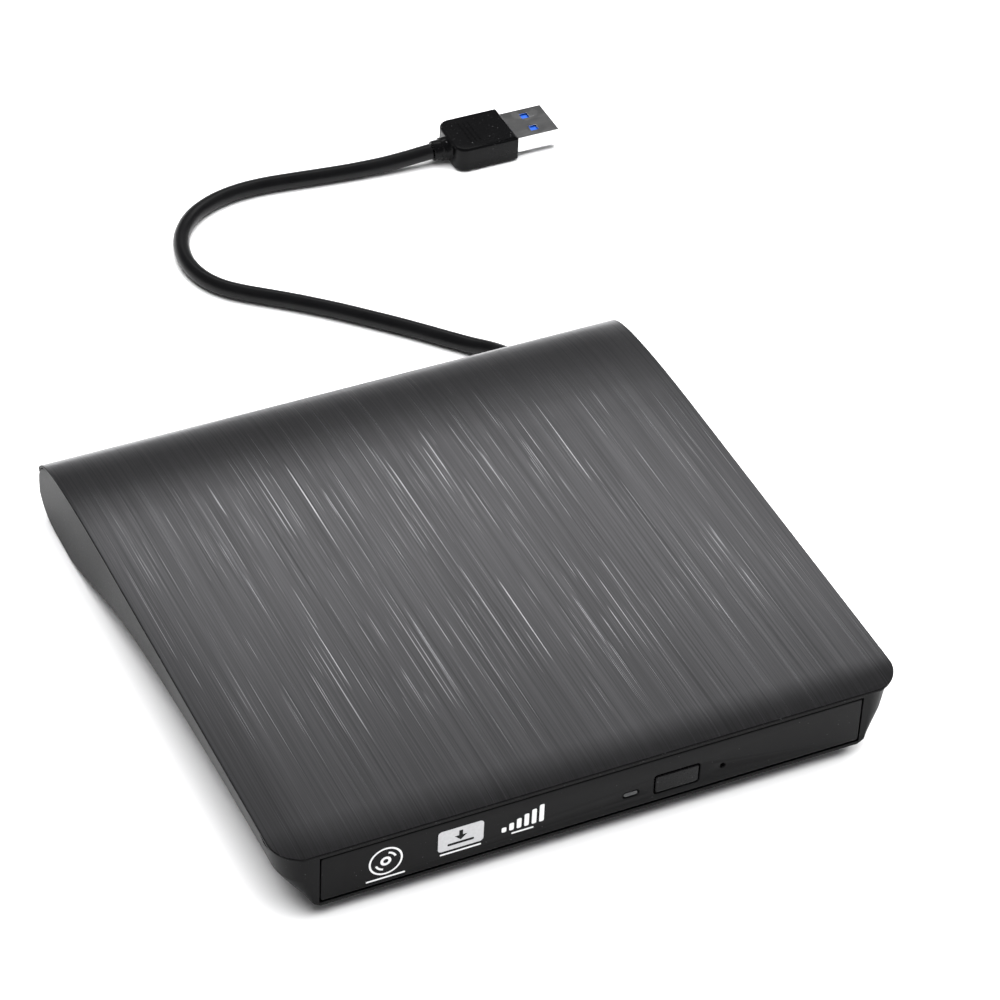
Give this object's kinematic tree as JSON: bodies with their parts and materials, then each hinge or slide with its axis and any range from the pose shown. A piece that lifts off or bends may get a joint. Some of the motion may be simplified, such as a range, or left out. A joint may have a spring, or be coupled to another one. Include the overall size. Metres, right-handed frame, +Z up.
{
  "type": "external optical drive",
  "caption": "Slim external optical disc drive with a brushed black cover, a thicker rounded back, a sliding disc tray and a short captive USB lead.",
  "frame": {"origin": "on the table, under the middle of the case", "axes": "+X to the right seen from the front, +Y to the back of the drive, +Z up; the tray comes out towards -Y"},
  "size_m": [0.1762, 0.2492, 0.02],
  "materials": {
    "brushed_cover": "fine brushed lines front to back under a satin black lacquer",
    "black_shell": "satin moulded black plastic",
    "tray_plastic": "fine-grained black plastic",
    "hub_plastic": "smooth dark grey plastic",
    "sheet_steel": "zinc-coated sheet",
    "bright_steel": "polished steel",
    "cast_metal": "matte die-cast metal",
    "rubber": "matte black rubber",
    "circuit_board": "green solder mask",
    "connector_plastic": "black moulded resin",
    "ribbon": "pale flat flexible cable",
    "lens_glass": "coated clear lens",
    "led_window": "smoked translucent window",
    "cable_jacket": "satin black jacket",
    "plug_metal": "nickel-plated shell",
    "plug_insert": "blue insulator"
  },
  "bodies": {
    "case": {"top_cover": "brushed_cover", "base_shell": "black_shell", "foot_front_left": "rubber", "foot_front_right": "rubber", "foot_rear_left": "rubber", "foot_rear_right": "rubber", "case_screw_1": "bright_steel", "case_screw_2": "bright_steel", "board_screw_1": "bright_steel", "board_screw_2": "bright_steel", "drive_chassis": "sheet_steel", "drive_lid": "sheet_steel", "lid_screw_1": "bright_steel", "lid_screw_2": "bright_steel", "lid_screw_3": "bright_steel", "lid_screw_4": "bright_steel", "rail_guide_left": "tray_plastic", "rail_guide_right": "tray_plastic", "interface_board": "circuit_board", "drive_connector": "connector_plastic", "catch_pin": "bright_steel", "flex_ribbon": "ribbon", "sata_plug": "connector_plastic", "bridge_board": "circuit_board", "bridge_chip": "connector_plastic", "strain_relief": "cable_jacket", "usb_cable": "cable_jacket", "plug_overmold": "cable_jacket", "plug_shell": "plug_metal", "plug_tongue": "plug_insert"},
    "left_rail": {"rail_left": "bright_steel"},
    "right_rail": {"rail_right": "bright_steel"},
    "tray": {"disc_tray": "tray_plastic", "front_bezel": "black_shell", "tray_shield": "sheet_steel", "tray_board": "circuit_board", "traverse_plate": "sheet_steel", "damper_1": "rubber", "damper_2": "rubber", "damper_3": "rubber", "spindle_motor": "sheet_steel", "guide_rod_main": "bright_steel", "guide_rod_sub": "bright_steel", "stepper_motor": "sheet_steel", "led_lens": "led_window", "latch_solenoid": "sheet_steel", "eject_switch": "connector_plastic"},
    "turntable": {"turntable_hub": "hub_plastic"},
    "pickup": {"pickup_body": "cast_metal"},
    "lens": {"lens_holder": "connector_plastic", "objective_lens": "lens_glass"},
    "feed_screw": {"lead_screw": "bright_steel"},
    "button": {"eject_button": "black_shell"},
    "latch": {"latch_hook": "hub_plastic"}
  },
  "joints": [
    {"name": "tray_slide", "type": "slide", "parent": "case", "child": "tray", "axis": [0, -1, 0], "range_m": [0, 0.13]},
    {"name": "rail_left_slide", "type": "slide", "parent": "case", "child": "left_rail", "axis": [0, -1, 0], "range_m": [0, 0.065]},
    {"name": "rail_right_slide", "type": "slide", "parent": "case", "child": "right_rail", "axis": [0, -1, 0], "range_m": [0, 0.065]},
    {"name": "spindle_spin", "type": "hinge", "parent": "tray", "child": "turntable", "pos_m": [0, -0.006, 0.013], "axis": [0, 0, 1], "continuous": true},
    {"name": "pickup_slide", "type": "slide", "parent": "tray", "child": "pickup", "axis": [0.6428, -0.766, 0], "range_m": [0, 0.032]},
    {"name": "lead_screw_spin", "type": "hinge", "parent": "tray", "child": "feed_screw", "pos_m": [0.02133, -0.00638, 0.0093], "axis": [0.6428, -0.766, 0], "range_deg": [0, 3845]},
    {"name": "lens_focus", "type": "slide", "parent": "pickup", "child": "lens", "axis": [0, 0, 1], "range_m": [-0.0004, 0.0004], "stiffness_N_per_m": 30},
    {"name": "eject_press", "type": "slide", "parent": "tray", "child": "button", "axis": [0, 1, 0], "range_m": [0, 0.0008], "stiffness_N_per_m": 300},
    {"name": "latch_turn", "type": "hinge", "parent": "tray", "child": "latch", "pos_m": [-0.051, 0.034, 0.009], "axis": [0, 0, 1], "range_deg": [0, 10], "stiffness_Nm_per_rad": 0.002}
  ],
  "couplings": [
    {"joint": "rail_left_slide", "follows": "tray_slide", "ratio": 0.5},
    {"joint": "rail_right_slide", "follows": "tray_slide", "ratio": 0.5},
    {"joint": "lead_screw_spin", "follows": "pickup_slide", "rad_per_m": 2094.4}
  ]
}
